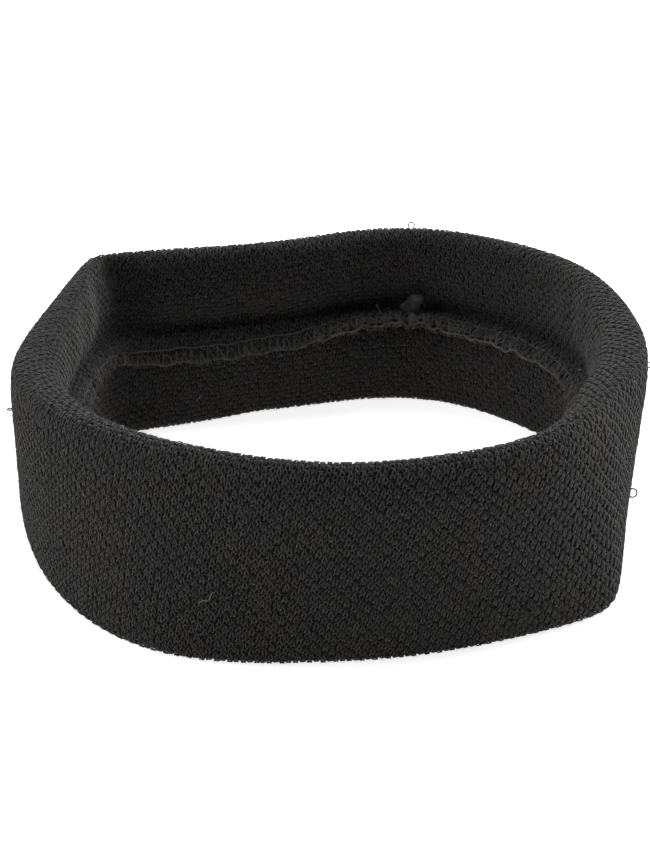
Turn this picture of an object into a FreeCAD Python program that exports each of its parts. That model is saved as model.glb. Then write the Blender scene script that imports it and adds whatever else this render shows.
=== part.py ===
import FreeCAD, Part
import math
import os

# Knitted sports headband: one strip of knit, joined end to end by an overlocked cross
# seam and folded on itself, wrong sides in.  The top and bottom rims are folds; the two
# long raw edges meet half way up the inner face, overlocked into a narrow flap.
# Millimetres.  +Z is up, the band rests on its bottom rim at z = 0 and the origin is
# under the middle of the ring.  -Y is the front, the cross seam is at +Y.
#
# Places on the band are given by three values:
#   turn  fraction of the way round the ring, counter-clockwise from the right side
#   out   distance outward from the middle of the wall (negative = wearer's side)
#   z     height, before the band is lowered by REST_FLAT

Vector = FreeCAD.Vector

# ---------------------------------------------------------------- driving sizes
BAND_HEIGHT = 54.0            # bottom rim to top rim
RING_LENGTH = 496.9           # length of the wall's centre line, relaxed
RIM_HALF = 3.24               # half thickness of the rim at the folds
WALL_HALF = 3.80              # half thickness half way up the wall
WALL_RAMP = 11.0              # height over which the rim fills out to the wall
PLY = 1.70                    # thickness of one layer of knit
REST_FLAT = 0.15              # depth of the flat the band's weight presses in its rim

FLAP_PLY = 1.10               # thickness of one layer where the overlock squeezes it
FLAP_GAP = 0.30               # gap between the two layers of the flap
SEAM_Z = 28.9                 # height of the long seam on the inner face
SEAM_OUT = -1.80              # where the seam line sits across the wall
FLAP_LENGTH = 8.0             # seam line to serged edge
FLAP_ROOT_TILT = 8.0          # degrees below level where the flap leaves the wall
FLAP_BEND_SHARE = 0.6         # share of the flap's length over which it bends
FLAP_STEPS = 12               # straight steps across the flap's length

PUFF_REACH = 6.5              # half height of the puffed inner panels
UPPER_PUFF_Z, UPPER_PUFF = 40.5, 0.75     # height and depth of each puff
LOWER_PUFF_Z, LOWER_PUFF = 14.0, 0.20
SEAM_PULL = 2.9               # how far the seam pulls the inner face in
SEAM_PULL_ABOVE = 6.2         # reach of that pull above and below the seam
SEAM_PULL_BELOW = 5.2

CROSS_SEAM_TURN = 0.177       # cross seam, as a fraction of the way round the ring
CROSS_SEAM_WIDTH = 6.0        # width of its allowance, hidden between the layers
CROSS_SEAM_RISE = 1.35        # how far that allowance stands into the hollow
RIDGE_RIM_MARGIN = 6.0        # the allowance stops this far short of the rims
RIDGE_SEAM_MARGIN = 7.0       # and this far from the long seam on the inner face
RIDGE_INNER_SHARE = 0.55      # share of the rise on the inner face

THREAD = 0.36                 # overlock sewing thread, across flats

STATIONS = 144                # sections round the ring
SECTORS = 12                  # faces round the ring
PLAN_SAMPLES = 960            # samples of each rim's plan curve
TANGENT_STEP = 0.0026         # ring fraction either side for a tangent
RAW_EDGE_ROUND = 0.42         # bulge of a raw edge, as a share of its ply

# Plan of each rim, as its heading round the ring in radians: a full turn from "start",
# nine harmonics (cosine, sine), and soft corners (turn in radians, ring fraction,
# softness).  "centre" is the x, y of the curve's mean point.  The two rims wander
# apart, which is how a soft band stands.
TOP_RIM = {
    "start": 1.72635,
    "harmonics": [(0.2365, 0.1381), (-0.2559, 0.021), (-0.0352, -0.144),
                  (-0.0456, -0.0113), (0.0398, 0.0376), (-0.0463, 0.035),
                  (0.0006, 0.0004), (0.0332, -0.0184), (0.0294, -0.0142)],
    "corners": [(1.1339, 0.3676, 0.006), (0.3814, 0.9364, 0.010)],
    "centre": (1.0009, 0.05),
}
BOTTOM_RIM = {
    "start": 1.74825,
    "harmonics": [(0.1307, 0.0083), (-0.2737, 0.0776), (-0.0807, -0.0753),
                  (0.0715, -0.0296), (-0.0813, 0.0663), (-0.0537, 0.0291),
                  (-0.0478, -0.0087), (-0.0238, 0.0014), (-0.0122, 0.0216)],
    "corners": [(0.4258, 0.2904, 0.010), (0.7083, 0.8851, 0.010), (0.62, 0.382, 0.006)],
    "centre": (0.4379, 0.3638),
}

# The next four tables are (ring fraction, value) rows, read by table_value().
# Droop of the flap below level at its serged edge, degrees.
FLAP_DROOP = [
    (0.00, 50), (0.02, 53), (0.035, 56), (0.045, 58), (0.055, 50), (0.068, 42),
    (0.083, 29), (0.105, 18), (0.13, 18), (0.155, 17), (0.178, 2), (0.20, 2),
    (0.22, 8), (0.238, 18), (0.252, 38), (0.268, 64), (0.30, 74), (0.345, 76),
    (0.366, 80), (0.395, 80), (0.405, 74), (0.415, 66), (0.43, 60), (0.47, 66),
    (0.60, 70), (0.80, 62), (0.95, 56)]
# Extra flap length where the edge runs out deeper.
FLAP_EXTRA = [
    (0.00, 1.4), (0.02, 0.5), (0.035, 0.0), (0.045, -0.3), (0.06, -1.2), (0.075, -1.4),
    (0.09, -0.8), (0.11, 0.0), (0.24, 0.0), (0.27, 0.5), (0.305, 1.2), (0.345, 0.6),
    (0.364, -0.6), (0.378, -1.8), (0.40, -1.6), (0.42, -1.2), (0.44, -0.4), (0.47, 0.0),
    (0.95, 0.0), (0.98, 1.0)]
# Pinch of the inner side at the sharp crease.
PINCH = [(0.00, 0.0), (0.335, 0.0), (0.364, -2.2), (0.380, -1.8), (0.41, 0.0)]
# Bunching of the inner side round the two tight ends, which carries the seam inward.
BUNCH = [
    (0.00, 4.6), (0.03, 3.4), (0.06, 1.8), (0.09, 0.6), (0.12, 0.0), (0.395, 0.0),
    (0.42, 1.4), (0.46, 3.2), (0.50, 4.6), (0.54, 5.0), (0.565, 4.9), (0.58, 4.2),
    (0.60, 3.0), (0.62, 1.9), (0.65, 0.8), (0.68, 0.0), (0.83, 0.0), (0.86, 1.2),
    (0.88, 2.8), (0.90, 4.4), (0.92, 5.6), (0.95, 6.0)]

# Stations of the knit's middle line round the section.
FLAP_SHARES = (0.965, 0.86, 0.74, 0.61, 0.48, 0.35, 0.23)    # of the flap, edge to seam
# Where each layer turns from flap to wall: (out, height from the seam, ply).
UPPER_SEAM_TURN = [(-2.52, 0.74, 1.15), (-1.78, 1.22, 1.30), (-1.52, 2.15, 1.50)]
LOWER_SEAM_TURN = [(-1.52, -2.35, 1.50), (-1.78, -1.36, 1.30), (-2.52, -0.60, 1.15)]
UPPER_PANEL_Z = (32.9, 34.9, 37.3, 39.9, 42.6, 45.3, 48.0)
LOWER_PANEL_Z = (5.8, 8.6, 11.4, 14.2, 17.0, 19.8, 22.4, 24.6)
# Angles round the folds, degrees; the bottom one skips -90 to leave room for the flat.
TOP_FOLD_ANGLES = (180, 157.5, 135, 112.5, 90, 67.5, 45, 22.5, 0)
BOTTOM_FOLD_ANGLES = (0, -22.5, -45, -67.5, -80, -100, -112.5, -135, -157.5, -180)
OUTER_WALL_STEPS = 14


# ---------------------------------------------------------------- interpolation
def clamp(value):
    return max(0.0, min(1.0, value))


def ease(t):
    return t * t * (3 - 2 * t)


def catmull_rom(points, t):
    """Blend four neighbouring vectors at t between the middle two."""
    weights = (-t * (1 - t) ** 2 / 2, (2 - 5 * t * t + 3 * t ** 3) / 2,
               (t + 4 * t * t - 3 * t ** 3) / 2, -(1 - t) * t * t / 2)
    total = Vector(0, 0, 0)
    for point, weight in zip(points, weights):
        total = total + point * weight
    return total


def table_value(rows, turn):
    """Smooth periodic value from (ring fraction, value) rows that start at 0."""
    turn = turn % 1.0
    ends = rows[1:] + [(1.0, rows[0][1])]
    for (start, before), (end, after) in zip(rows, ends):
        if turn < end:
            return before + (after - before) * ease((turn - start) / (end - start))


# ---------------------------------------------------------------- plan curves
def rim_curve(law):
    """Closed plan curve whose heading follows the law, as vectors at z = 0."""
    headings = []
    for i in range(PLAN_SAMPLES):
        turn = (i + 0.5) / PLAN_SAMPLES
        angle = 2 * math.pi * turn + law["start"]
        for k, (cosine, sine) in enumerate(law["harmonics"], 1):
            phase = 2 * math.pi * k * turn
            angle += cosine * math.cos(phase) + sine * math.sin(phase)
        for bend, place, softness in law["corners"]:
            angle += bend * (0.5 * (1 + math.tanh((turn - place) / softness)) - turn)
        headings.append(Vector(math.cos(angle), math.sin(angle), 0))

    # Taking the mean heading off every step makes the curve close.
    drift = sum(headings, Vector(0, 0, 0)) * (1 / PLAN_SAMPLES)
    step = RING_LENGTH / PLAN_SAMPLES
    point = Vector(0, 0, 0)
    points = []
    for heading in headings:
        point = point + (heading - drift) * step
        points.append(point)
    mean = sum(points, Vector(0, 0, 0)) * (1 / PLAN_SAMPLES)
    shift = Vector(law["centre"][0], law["centre"][1], 0) - mean
    return [p + shift for p in points]


TOP_CURVE = rim_curve(TOP_RIM)
BOTTOM_CURVE = rim_curve(BOTTOM_RIM)


def curve_point(curve, turn):
    position = (turn % 1.0) * PLAN_SAMPLES - 1.0
    i = math.floor(position)
    near = [curve[(i + j) % PLAN_SAMPLES] for j in (-1, 0, 1, 2)]
    return catmull_rom(near, position - i)


def wall_middle(turn, z):
    bottom = curve_point(BOTTOM_CURVE, turn)
    top = curve_point(TOP_CURVE, turn)
    return bottom + (top - bottom) * (z / BAND_HEIGHT)


def wall_axes(turn, z):
    """Level unit vectors outward from the wall and along it, counter-clockwise."""
    along = wall_middle(turn + TANGENT_STEP, z) - wall_middle(turn - TANGENT_STEP, z)
    along.normalize()
    return Vector(along.y, -along.x, 0), along


def band_point(turn, out, z):
    outward, _ = wall_axes(turn, z)
    return wall_middle(turn, z) + outward * out + Vector(0, 0, z - REST_FLAT)


# ---------------------------------------------------------------- cross-section
def flap_line(turn):
    """Middle line of the flap from seam to serged edge: (out, z, tilt in radians)."""
    step = (FLAP_LENGTH + table_value(FLAP_EXTRA, turn)) / FLAP_STEPS
    droop = table_value(FLAP_DROOP, turn)
    out, z = SEAM_OUT - table_value(BUNCH, turn), SEAM_Z
    rows = [(out, z, math.radians(FLAP_ROOT_TILT))]
    for i in range(FLAP_STEPS):
        bend = ease(min(1.0, (i + 0.5) / FLAP_STEPS / FLAP_BEND_SHARE))
        tilt = math.radians(FLAP_ROOT_TILT + (droop - FLAP_ROOT_TILT) * bend)
        out -= math.cos(tilt) * step
        z -= math.sin(tilt) * step
        rows.append((out, z, tilt))
    return rows


def flap_point(rows, share, offset):
    """(out, z, tilt) at a share of the flap's length, offset above (+) its middle."""
    position = share * FLAP_STEPS
    i = int(position)
    t = position - i
    out, z, tilt = [a + (b - a) * t for a, b in zip(rows[i], rows[i + 1])]
    return out - math.sin(tilt) * offset, z + math.cos(tilt) * offset, tilt


def outer_half(z):
    """Outer half thickness of the wall: slim at the folds, fuller in the middle."""
    rise = ease(clamp(min(z, BAND_HEIGHT - z) / WALL_RAMP))
    return RIM_HALF + (WALL_HALF - RIM_HALF) * rise


def pinch_share(z):
    """All of the pinch at the top rim, none at the seam or the bottom rim."""
    if z > SEAM_Z:
        return ease(clamp((z - SEAM_Z - 1.5) / 8.0))
    return 0.7 * clamp(min(SEAM_Z - 2.0 - z, z - RIM_HALF) / 6.0)


def bunch_share(z):
    """All of the bunching from the top rim down past the seam, none at the bottom."""
    return ease(clamp((z - RIM_HALF) / 14.0))


def inner_half(turn, z):
    """Half thickness on the wearer's side: two puffed panels pulled in at the seam."""
    def bump(centre, reach):
        return math.exp(-((z - centre) / reach) ** 2)

    pull_reach = SEAM_PULL_ABOVE if z > SEAM_Z else SEAM_PULL_BELOW
    return (outer_half(z)
            + UPPER_PUFF * bump(UPPER_PUFF_Z, PUFF_REACH)
            + LOWER_PUFF * bump(LOWER_PUFF_Z, PUFF_REACH)
            - SEAM_PULL * bump(SEAM_Z, pull_reach)
            + table_value(PINCH, turn) * pinch_share(z)
            + table_value(BUNCH, turn) * bunch_share(z))


def knit_path(turn):
    """Middle line of the strip of knit from raw edge to raw edge: (out, z, ply)."""
    flap = flap_line(turn)
    bunch = table_value(BUNCH, turn)
    fold = RIM_HALF - PLY / 2
    deep_fold = fold + table_value(PINCH, turn) + bunch
    top = BAND_HEIGHT - RIM_HALF

    def flap_layer(shares, offset):
        return [flap_point(flap, share, offset)[:2] + (FLAP_PLY,) for share in shares]

    def seam_turn(rows):
        return [(out - bunch, SEAM_Z + rise, ply) for out, rise, ply in rows]

    def panel(heights):
        return [(-(inner_half(turn, z) - PLY / 2), z, PLY) for z in heights]

    def rim_fold(angles, centre_z):
        rows = []
        for degrees in angles:
            angle = math.radians(degrees)
            across = deep_fold if degrees > 90 else fold
            rows.append((across * math.cos(angle), centre_z + fold * math.sin(angle), PLY))
        return rows

    lift = (FLAP_PLY + FLAP_GAP) / 2
    wall_z = [top + (RIM_HALF - top) * i / OUTER_WALL_STEPS
              for i in range(1, OUTER_WALL_STEPS)]
    return (flap_layer(FLAP_SHARES, lift)
            + seam_turn(UPPER_SEAM_TURN)
            + panel(UPPER_PANEL_Z)
            + rim_fold(TOP_FOLD_ANGLES, top)
            + [(outer_half(z) - PLY / 2, z, PLY) for z in wall_z]
            + rim_fold(BOTTOM_FOLD_ANGLES, RIM_HALF)
            + panel(LOWER_PANEL_Z)
            + seam_turn(LOWER_SEAM_TURN)
            + flap_layer(FLAP_SHARES[::-1], -lift))


def ridge_height(turn, out, z, ply):
    """How far the cross seam's allowance thickens the wrong side of the knit."""
    if ply != PLY or not RIDGE_RIM_MARGIN < z < BAND_HEIGHT - RIDGE_RIM_MARGIN:
        return 0.0
    if out < 0 and abs(z - SEAM_Z) < RIDGE_SEAM_MARGIN:
        return 0.0
    across = (turn - CROSS_SEAM_TURN) * RING_LENGTH / (CROSS_SEAM_WIDTH / 2)
    height = CROSS_SEAM_RISE * math.exp(-(across ** 4))
    return height * RIDGE_INNER_SHARE if out < 0 else height


def raw_edge(end, before):
    """Point that rounds off a raw edge, past the end of the path."""
    step_out, step_z = end[0] - before[0], end[1] - before[1]
    scale = end[2] * RAW_EDGE_ROUND / math.hypot(step_out, step_z)
    return end[0] + step_out * scale, end[1] + step_z * scale


def section(turn):
    """Closed outline of the strip as (out, z): the face, then back on the wrong side."""
    path = knit_path(turn)
    last = len(path) - 1
    face, wrong = [], []
    for i, (out, z, ply) in enumerate(path):
        before, after = path[max(0, i - 1)], path[min(last, i + 1)]
        step_out, step_z = after[0] - before[0], after[1] - before[1]
        length = math.hypot(step_out, step_z)
        # Left of travel is the visible face.
        normal_out, normal_z = -step_z / length, step_out / length
        half = ply / 2
        back = half + ridge_height(turn, out, z, ply)
        # The bottom rim is pressed flat where the band stands on it.
        face.append((out + normal_out * half, max(z + normal_z * half, REST_FLAT)))
        wrong.append((out - normal_out * back, z - normal_z * back))
    return ([raw_edge(path[0], path[1])] + face
            + [raw_edge(path[-1], path[-2])] + wrong[::-1])


# ---------------------------------------------------------------- solid builders
def sewn(faces):
    shell = Part.Shell(faces)
    shell.sewShape()
    # Sewing may hand back a compound: keep its main shell.
    if shell.ShapeType != "Shell":
        shell = max(shell.Shells, key=lambda part: len(part.Faces))
    solid = Part.Solid(shell)
    if solid.Volume < 0:
        solid.reverse()
    return solid


def periodic_curve(poles):
    count = len(poles)
    curve = Part.BSplineCurve()
    knots = [float(i) for i in range(count + 1)]
    curve.buildFromPolesMultsKnots(poles, [1] * (count + 1), knots, True, 3)
    return curve


def open_curve(poles):
    count = len(poles)
    curve = Part.BSplineCurve()
    mults = [4] + [1] * (count - 4) + [4]
    knots = [float(i) for i in range(count - 2)]
    curve.buildFromPolesMultsKnots(poles, mults, knots, False, 3)
    return curve


def split_curve(curve, breaks):
    """Edges of a curve cut at the given parameters."""
    edges = []
    for start, end in zip(breaks, breaks[1:]):
        arc = curve.copy()
        arc.segment(start, end)
        edges.append(arc.toShape())
    return edges


def compensate(row):
    """Move cubic B-spline poles out so the curve runs through the given points."""
    count = len(row)
    return [row[i] - (row[i - 1] - row[i] * 2 + row[(i + 1) % count]) * (1 / 6.0)
            for i in range(count)]


def skin_face(first, second):
    """Ruled face between two edges, or a plane where both lie in z = 0."""
    levels = [vertex.Z for edge in (first, second) for vertex in edge.Vertexes]
    if max(levels) - min(levels) >= 1e-7 or abs(levels[0]) >= 1e-6:
        return Part.makeRuledSurface(first, second)
    first_start, first_end, second_start, second_end = [
        edge.valueAt(parameter) for edge in (first, second)
        for parameter in (edge.FirstParameter, edge.LastParameter)]
    edges = [first, Part.makeLine(first_end, second_end),
             second, Part.makeLine(second_start, first_start)]
    return Part.Face(Part.Wire(Part.__sortEdges__(edges)))


def closed_skin(sections):
    """Solid from sections: smooth round the ring, flat-sided round the section."""
    count = len(sections)
    breaks = [float(count * i // SECTORS) for i in range(SECTORS + 1)]
    rails = [split_curve(periodic_curve(compensate(list(rail))), breaks)
             for rail in zip(*sections)]
    faces = []
    for j, rail in enumerate(rails):
        for first, second in zip(rail, rails[(j + 1) % len(rails)]):
            faces.append(skin_face(first, second))
    return sewn(faces)


def thread_rails(points, normals, width, sides, closed=False):
    """Corner rails of a thread of the given width across flats along its points."""
    last = len(points) - 1
    radius = width / 2 / math.cos(math.pi / sides)
    rails = [[] for _ in range(sides)]
    for i, point in enumerate(points):
        before = points[i - 1] if closed or i > 0 else point
        after = points[(i + 1) % len(points)] if closed or i < last else point
        along = (after - before).normalize()
        normal = normals[i]
        normal = (normal - along * normal.dot(along)).normalize()
        across = along.cross(normal)
        for k in range(sides):
            angle = 2 * math.pi * (k + 0.5) / sides
            rails[k].append(point + across * (radius * math.cos(angle))
                            + normal * (radius * math.sin(angle)))
    return rails


def thread_sides(edge_rails):
    """Ruled faces between neighbouring corner rails, each a list of edges."""
    faces = []
    for k, rail in enumerate(edge_rails):
        for first, second in zip(rail, edge_rails[(k + 1) % len(edge_rails)]):
            faces.append(Part.makeRuledSurface(first, second))
    return faces


def end_caps(rails):
    return [Part.Face(Part.makePolygon([rail[end] for rail in rails] + [rails[0][end]]))
            for end in (0, -1)]


def smooth_thread(rails, closed):
    """Solid thread, smooth lengthwise and flat between its corner rails."""
    longest_face = 24.0       # in knot spans
    edge_rails = []
    for rail in rails:
        curve = periodic_curve(rail) if closed else open_curve(rail)
        span = curve.LastParameter
        parts = int(math.ceil(span / longest_face))
        breaks = [float(round(span * i / parts)) for i in range(parts + 1)]
        edge_rails.append(split_curve(curve, breaks))
    return sewn(thread_sides(edge_rails) + ([] if closed else end_caps(rails)))


def facet_thread(rails):
    """Solid thread of straight facets with flat cut ends."""
    edge_rails = [[Part.makeLine(a, b) for a, b in zip(rail, rail[1:])] for rail in rails]
    return sewn(thread_sides(edge_rails) + end_caps(rails))


# ---------------------------------------------------------------- the knit strip
def knit_body():
    sections = []
    for i in range(STATIONS):
        turn = i / STATIONS
        sections.append([band_point(turn, out, z) for out, z in section(turn)])
    return closed_skin(sections)


# ---------------------------------------------------------------- laid-in elastic
ELASTIC_WIDTH = 0.70          # covered elastic yarn, across flats
ELASTIC_CLEAR = 0.42          # from the wrong side of the knit
ELASTIC_DEPTH = PLY + ELASTIC_CLEAR + ELASTIC_WIDTH / 2
ELASTIC_END_GAP = 1.2         # from the cross seam's allowance to the yarn ends
ELASTIC_STEPS = 130
# Heights of the yarns behind the outer face and the two inner panels.
OUTER_YARN_Z = [7.5 + 39.0 * i / 7 for i in range(8)]
INNER_YARN_PITCH = 5.55
UPPER_YARN_Z = [38.15 + INNER_YARN_PITCH * i for i in range(2)]
LOWER_YARN_Z = [10.3 + INNER_YARN_PITCH * i for i in range(3)]


def behind_outer(turn, z):
    return outer_half(z) - ELASTIC_DEPTH


def behind_inner(turn, z):
    return -(inner_half(turn, z) - ELASTIC_DEPTH)


def elastic_yarns(place_out, heights):
    gap = (CROSS_SEAM_WIDTH / 2 + ELASTIC_END_GAP) / RING_LENGTH
    turns = [CROSS_SEAM_TURN + gap + (1 - 2 * gap) * i / ELASTIC_STEPS
             for i in range(ELASTIC_STEPS + 1)]
    normals = [Vector(0, 0, 1)] * len(turns)
    yarns = []
    for z in heights:
        points = [band_point(turn, place_out(turn, z), z) for turn in turns]
        rails = thread_rails(points, normals, ELASTIC_WIDTH, sides=6)
        yarns.append(smooth_thread(rails, closed=False))
    return Part.makeCompound(yarns)


# ---------------------------------------------------------------- long edge seam
THREAD_CLEAR = 0.16           # between the flap and its threads
STITCH_PITCH = 3.04           # overlock stitch length along the edge
STITCH_COUNT = int(round(RING_LENGTH / STITCH_PITCH))
STITCH_SLANT = 0.36           # run of a looper stitch along the edge, in pitches
STITCH_SPANS = 3              # straight facets along one looper stitch
FLAP_SURFACE = FLAP_PLY + FLAP_GAP / 2    # from the flap's middle to its face
THREAD_OFFSET = FLAP_SURFACE + THREAD_CLEAR + THREAD / 2
NEEDLE_SHARE = 0.54           # needle line, as a share of the flap's length
NEEDLE_POINTS = 240
STITCH_EDGE_SHARE = 0.97      # outer end of the looper stitches


def flap_place(turn, share, offset):
    """Point on the flap and the flap's upward normal there."""
    out, z, tilt = flap_point(flap_line(turn), share, offset)
    outward, _ = wall_axes(turn, z)
    normal = outward * -math.sin(tilt) + Vector(0, 0, math.cos(tilt))
    return band_point(turn, out, z), normal


def edge_needle_thread():
    places = [flap_place(i / NEEDLE_POINTS, NEEDLE_SHARE, THREAD_OFFSET)
              for i in range(NEEDLE_POINTS)]
    points, normals = zip(*places)
    rails = thread_rails(points, normals, THREAD, sides=4, closed=True)
    return smooth_thread(rails, closed=True)


def looper_stitches(offset, phase, root_share):
    """Separate slanting stitches across the flap, from root_share out to the edge."""
    stitches = []
    for k in range(STITCH_COUNT):
        places = []
        for j in range(STITCH_SPANS + 1):
            t = j / STITCH_SPANS
            turn = (k + phase + STITCH_SLANT * t) / STITCH_COUNT
            share = root_share + (STITCH_EDGE_SHARE - root_share) * t
            places.append(flap_place(turn, share, offset))
        points, normals = zip(*places)
        stitches.append(facet_thread(thread_rails(points, normals, THREAD, sides=4)))
    return Part.makeCompound(stitches)


# ---------------------------------------------------------------- cross seam
CROSS_BOTTOM, CROSS_TOP = 9.0, 45.0       # heights of the ends of the stitching
CROSS_THREAD_CLEAR = 0.30                 # from the allowance to the thread
CROSS_NEEDLE_ALONG = -2.3                 # needle line, mm along the ring from the seam
CROSS_NEEDLE_SPANS = 12
CROSS_STITCHES = 14
# One looper stitch: (height as a share of the stitch, mm along the ring).
LOOPER_ZIGZAG = [(0.05, -1.5), (0.30, 1.7), (0.55, 1.7), (0.80, -1.5)]


def cross_thread(path):
    """Thread behind the outer wall through (share of the height, mm along) rows."""
    points, normals = [], []
    for share, along in path:
        z = CROSS_BOTTOM + (CROSS_TOP - CROSS_BOTTOM) * share
        turn = CROSS_SEAM_TURN + along / RING_LENGTH
        out = outer_half(z) - PLY - CROSS_SEAM_RISE - CROSS_THREAD_CLEAR - THREAD / 2
        points.append(band_point(turn, out, z))
        normals.append(wall_axes(turn, z)[0])
    return facet_thread(thread_rails(points, normals, THREAD, sides=4))


def cross_needle_thread():
    return cross_thread([(i / CROSS_NEEDLE_SPANS, CROSS_NEEDLE_ALONG)
                         for i in range(CROSS_NEEDLE_SPANS + 1)])


def cross_looper_thread():
    return cross_thread([((k + share) / CROSS_STITCHES, along)
                         for k in range(CROSS_STITCHES) for share, along in LOOPER_ZIGZAG])


# ---------------------------------------------------------------- chain tail
TAIL_TURN, TAIL_OUT = 0.1860, -6.7
TAIL_LIFT = 0.35              # root above the flap's face
TAIL_LENGTH = 6.4
TAIL_LEAN = 22                # degrees from upright, clockwise along the ring
TAIL_FLATNESS = 0.62          # thickness over width
TAIL_SWAY = 0.25              # sideways wave of the middle line
TAIL_SWAY_STEP = 0.55         # radians of that wave per station
TAIL_SIDES = 8
# Half widths of the tail at its loops and between them, from the root up.
TAIL_RADII = [0.50, 0.80, 0.92, 1.25, 1.10, 1.45, 1.25, 1.70, 1.45, 1.85, 1.55, 1.60, 0.95]


def chain_tail():
    """The overlock's last loops, standing free on the flap at the cross seam."""
    root = band_point(TAIL_TURN, TAIL_OUT, SEAM_Z) + Vector(0, 0, FLAP_SURFACE + TAIL_LIFT)
    outward, along = wall_axes(TAIL_TURN, SEAM_Z)
    lean = math.radians(TAIL_LEAN)
    axis = Vector(0, 0, math.cos(lean)) - along * math.sin(lean)
    wide = axis.cross(outward).normalize()
    thin = wide.cross(axis).normalize()
    rails = [[] for _ in range(TAIL_SIDES)]
    for i, radius in enumerate(TAIL_RADII):
        height = TAIL_LENGTH * i / (len(TAIL_RADII) - 1)
        centre = root + axis * height + thin * (TAIL_SWAY * math.sin(i * TAIL_SWAY_STEP))
        for k in range(TAIL_SIDES):
            angle = 2 * math.pi * (k + 0.5) / TAIL_SIDES
            rails[k].append(centre + wide * (radius * math.cos(angle))
                            + thin * (radius * TAIL_FLATNESS * math.sin(angle)))
    return facet_thread(rails)


# ---------------------------------------------------------------- free thread ends
# Shapes are (along the ring, outward, up) rows from the thread's base.
RIGHT_LOOP = [
    (0.1, 0.22, -1.15), (0.2, 1.0, -1.30), (0.25, 1.75, -0.85), (0.25, 2.0, 0.0),
    (0.2, 1.8, 0.85), (0.1, 1.05, 1.25), (0.0, 0.22, 1.15)]
RIGHT_UPPER_LOOP = [
    (-0.2, 0.22, -0.75), (-0.2, 0.62, -0.8), (-0.2, 0.95, -0.35), (-0.2, 0.95, 0.3),
    (-0.2, 0.62, 0.75), (-0.2, 0.22, 0.7)]
LEFT_NUB = [
    (-0.6, 0.22, -0.1), (-0.6, 0.65, 0.0), (-0.2, 0.98, 0.05), (0.35, 0.95, 0.1),
    (0.6, 0.6, 0.1), (0.6, 0.22, 0.1)]
BACK_LOOP = [
    (0.72, 0.0, 0.20), (0.86, 0.1, 0.75), (0.60, 0.1, 1.30), (0.0, 0.1, 1.50),
    (-0.60, 0.1, 1.30), (-0.84, 0.1, 0.75), (-0.66, 0.0, 0.20)]
LOOSE_END = [
    (0.0, 0.0, 0.0), (0.1, 0.0, 0.8), (0.0, -0.1, 1.7), (-0.5, -0.15, 2.5),
    (-1.1, -0.1, 3.1)]
LOOSE_END_TURN = 0.2075
LOOSE_END_SHARE = 0.36        # of the flap's length
LOOSE_END_LIFT = 0.25         # above the flap's face


def smooth_points(points, steps=3):
    """Catmull-Rom points through an open line."""
    padded = [points[0]] + points + [points[-1]]
    smoothed = [catmull_rom(padded[i:i + 4], j / steps)
                for i in range(len(points) - 1) for j in range(steps)]
    return smoothed + [points[-1]]


def free_thread(base, axes, up, shape, width):
    outward, along = axes
    path = [base + along * a + outward * o + up * u for a, o, u in shape]
    start, middle, end = path[0], path[len(path) // 2], path[-1]
    normal = (middle - start).cross(end - middle).normalize()
    points = smooth_points(path)
    return facet_thread(thread_rails(points, [normal] * len(points), width, sides=6))


def wall_thread(turn, out, z, shape, width):
    """Free thread standing off the wall."""
    return free_thread(band_point(turn, out, z), wall_axes(turn, z), Vector(0, 0, 1),
                       shape, width)


def loose_thread_end():
    """Cut thread end standing up from the flap beside the chain tail."""
    base, normal = flap_place(LOOSE_END_TURN, LOOSE_END_SHARE, FLAP_SURFACE + LOOSE_END_LIFT)
    axes = wall_axes(LOOSE_END_TURN, SEAM_Z)
    return free_thread(base, axes, normal, LOOSE_END, width=0.26)


# ---------------------------------------------------------------- write the pieces
pieces = {
    "knit_body": knit_body(),
    "elastic_yarns_outer_wall": elastic_yarns(behind_outer, OUTER_YARN_Z),
    "elastic_yarns_inner_upper": elastic_yarns(behind_inner, UPPER_YARN_Z),
    "elastic_yarns_inner_lower": elastic_yarns(behind_inner, LOWER_YARN_Z),
    "edge_seam_needle_thread": edge_needle_thread(),
    "edge_seam_upper_looper_thread": looper_stitches(
        THREAD_OFFSET + 0.05, phase=0.0, root_share=0.66),
    "edge_seam_lower_looper_thread": looper_stitches(
        -THREAD_OFFSET - 0.12, phase=0.5, root_share=0.60),
    "cross_seam_needle_thread": cross_needle_thread(),
    "cross_seam_looper_thread": cross_looper_thread(),
    "seam_chain_tail": chain_tail(),
    "elastic_loop_right": wall_thread(
        0.9610, outer_half(13.0), 13.0, RIGHT_LOOP, width=0.28),
    "elastic_loop_right_upper": wall_thread(
        0.9646, outer_half(47.2), 47.2, RIGHT_UPPER_LOOP, width=0.24),
    "elastic_nub_left": wall_thread(
        0.5229, outer_half(41.4), 41.4, LEFT_NUB, width=0.24),
    "elastic_loop_back": wall_thread(
        0.1775, 0.0, BAND_HEIGHT, BACK_LOOP, width=0.26),
    "loose_thread_end": loose_thread_end(),
}

os.makedirs("parts", exist_ok=True)
for name, shape in pieces.items():
    shape.exportStep("parts/%s.step" % name)
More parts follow.
